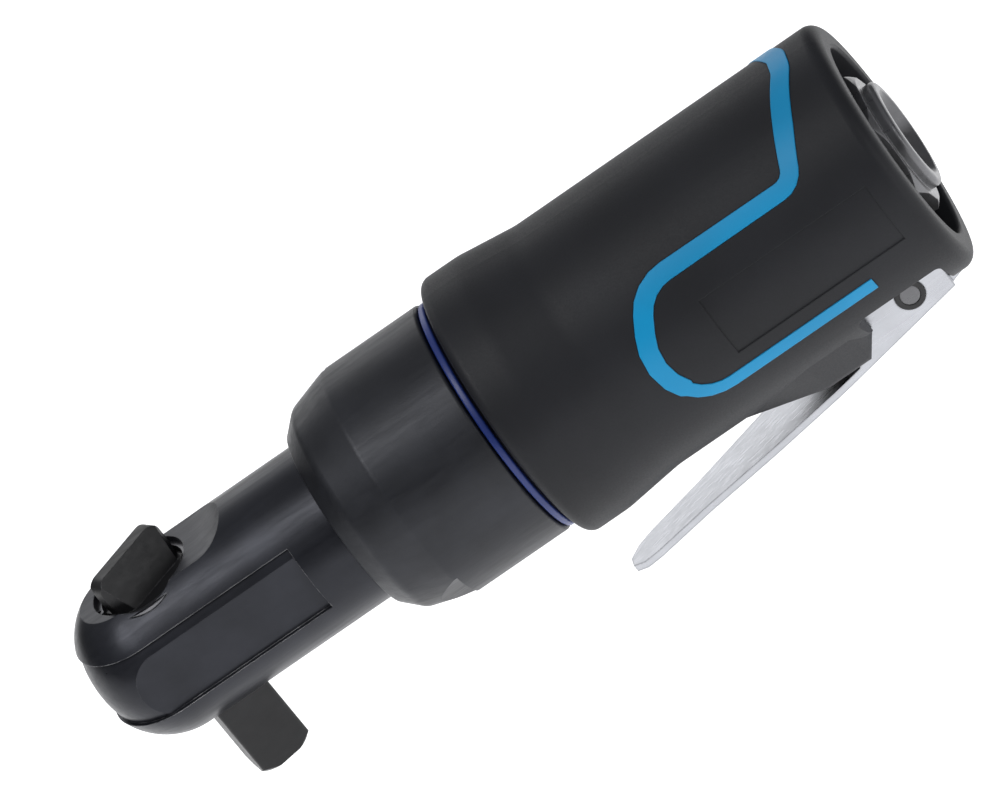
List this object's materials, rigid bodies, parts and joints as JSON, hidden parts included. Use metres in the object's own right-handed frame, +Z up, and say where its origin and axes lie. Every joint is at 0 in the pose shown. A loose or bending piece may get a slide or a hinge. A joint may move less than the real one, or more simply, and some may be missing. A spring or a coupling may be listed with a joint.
{
  "type": "air ratchet",
  "caption": "Stubby square-drive air ratchet with a sprung throttle lever, reversing selector, planetary gearing and vane motor.",
  "frame": {"origin": "centre of the drive shoulder on the drive axis", "axes": "+X along the tool to the air inlet, +Z up to the selector; the square points to -Z"},
  "size_m": [0.1533, 0.047, 0.0594],
  "materials": {
    "oxide_steel": "black oxide, satin",
    "drive_steel": "black phosphate, satin",
    "steel": "ground",
    "spring_steel": "drawn wire",
    "bright_lever": "plated, polished",
    "nut_finish": "black, satin",
    "alloy": "machined",
    "housing_black": "black anodised",
    "inlet_black": "black oxide",
    "grip": "fine matt grain",
    "trim_blue": "satin",
    "seal_navy": "satin",
    "rubber_black": "matt",
    "brass": "machined",
    "nylon": "satin",
    "vane": "laminate",
    "felt": "felt"
  },
  "bodies": {
    "tool_body": {"ratchet_head": "oxide_steel", "snap_ring": "spring_steel", "thrust_washer": "steel", "neck_bearing_cup": "steel", "neck_bearing_rollers": "steel", "ring_gear": "steel", "planet_washer": "steel", "front_end_plate": "alloy", "rear_end_plate": "alloy", "front_bearing_outer": "steel", "front_bearing_balls": "steel", "rear_bearing_outer": "steel", "rear_bearing_balls": "steel", "motor_cylinder": "steel", "dowel_pin": "steel", "motor_gasket": "rubber_black", "motor_housing": "housing_black", "clamp_nut": "nut_finish", "seal_ring": "seal_navy", "grip_sleeve": "grip", "trim_stripe": "trim_blue", "lever_pin": "inlet_black", "valve_pin_bushing": "brass", "valve_pin_seal": "rubber_black", "valve_seat": "nylon", "inlet_screen": "brass", "inlet_bushing": "inlet_black", "exhaust_muffler": "felt", "exhaust_plate": "nylon"},
    "anvil": {"anvil": "drive_steel", "pawl_pin": "steel", "drive_ball_spring": "spring_steel", "selector_ball": "steel", "selector_spring": "spring_steel"},
    "selector": {"selector_lever": "drive_steel", "pawl_spring": "spring_steel"},
    "plunger": {"pawl_plunger": "steel"},
    "pawl": {"pawl": "steel"},
    "retention_ball": {"drive_ball": "steel"},
    "yoke": {"yoke": "steel", "drive_bush": "steel"},
    "crank": {"crankshaft": "steel", "planet_pins": "steel"},
    "planet_1": {"planet_gear_1": "steel"},
    "planet_2": {"planet_gear_2": "steel"},
    "planet_3": {"planet_gear_3": "steel"},
    "rotor": {"rotor": "steel", "rotor_vanes": "vane", "sun_gear": "steel", "front_bearing_inner": "steel", "rear_bearing_inner": "steel"},
    "lever": {"throttle_lever": "bright_lever", "lever_bushes": "nylon"},
    "throttle_pin": {"valve_pin": "steel"},
    "valve": {"throttle_valve": "brass", "valve_spring": "spring_steel"}
  },
  "joints": [
    {"name": "lever_press", "type": "hinge", "parent": "tool_body", "child": "lever", "pos_m": [0.1226, 0, -0.0072], "axis": [0, 1, 0], "range_deg": [0, 8.5], "stiffness_Nm_per_rad": 0.35, "springref_deg": -8.59},
    {"name": "throttle_pin_slide", "type": "slide", "parent": "tool_body", "child": "throttle_pin", "axis": [0, 0, 1], "range_m": [0, 0.0024]},
    {"name": "valve_tip", "type": "hinge", "parent": "tool_body", "child": "valve", "pos_m": [0.11712, 0, 0.0076], "axis": [0, 1, 0], "range_deg": [0, 13.5]},
    {"name": "anvil_spin", "type": "hinge", "parent": "tool_body", "child": "anvil", "pos_m": [0, 0, 0], "axis": [0, 0, 1], "continuous": true},
    {"name": "selector_flip", "type": "hinge", "parent": "anvil", "child": "selector", "pos_m": [0, 0, 0.0216], "axis": [0, 0, 1], "range_deg": [-36.6, 0]},
    {"name": "pawl_rock", "type": "hinge", "parent": "anvil", "child": "pawl", "pos_m": [0.00482, 0.00135, 0.0126], "axis": [0, 0, 1], "range_deg": [0, 6.1]},
    {"name": "plunger_slide", "type": "slide", "parent": "selector", "child": "plunger", "axis": [0.83, 0.5577, 0], "range_m": [-0.0003, 0], "stiffness_N_per_m": 400},
    {"name": "retention_ball_slide", "type": "slide", "parent": "anvil", "child": "retention_ball", "axis": [-0.2689, 0.9632, 0], "range_m": [-0.0006, 0], "stiffness_N_per_m": 1500},
    {"name": "yoke_rock", "type": "hinge", "parent": "tool_body", "child": "yoke", "pos_m": [0, 0, 0.0126], "axis": [0, 0, 1], "range_deg": [-5.7, 5.7]},
    {"name": "rotor_spin", "type": "hinge", "parent": "tool_body", "child": "rotor", "pos_m": [0.073, 0, 0.0126], "axis": [1, 0, 0], "continuous": true},
    {"name": "crank_spin", "type": "hinge", "parent": "tool_body", "child": "crank", "pos_m": [0.025, 0, 0.0126], "axis": [1, 0, 0], "continuous": true},
    {"name": "planet_1_spin", "type": "hinge", "parent": "crank", "child": "planet_1", "pos_m": [0.0415, 0, 0.0222], "axis": [1, 0, 0], "continuous": true},
    {"name": "planet_2_spin", "type": "hinge", "parent": "crank", "child": "planet_2", "pos_m": [0.0415, -0.00831, 0.0078], "axis": [1, 0, 0], "continuous": true},
    {"name": "planet_3_spin", "type": "hinge", "parent": "crank", "child": "planet_3", "pos_m": [0.0415, 0.00831, 0.0078], "axis": [1, 0, 0], "continuous": true}
  ],
  "couplings": [
    {"joint": "throttle_pin_slide", "follows": "lever_press", "m_per_rad": 0.0155},
    {"joint": "valve_tip", "follows": "lever_press", "ratio": 1.565},
    {"joint": "pawl_rock", "follows": "selector_flip", "ratio": -0.16393},
    {"joint": "crank_spin", "follows": "rotor_spin", "ratio": 0.25},
    {"joint": "planet_1_spin", "follows": "rotor_spin", "ratio": -0.75},
    {"joint": "planet_2_spin", "follows": "rotor_spin", "ratio": -0.75},
    {"joint": "planet_3_spin", "follows": "rotor_spin", "ratio": -0.75}
  ]
}
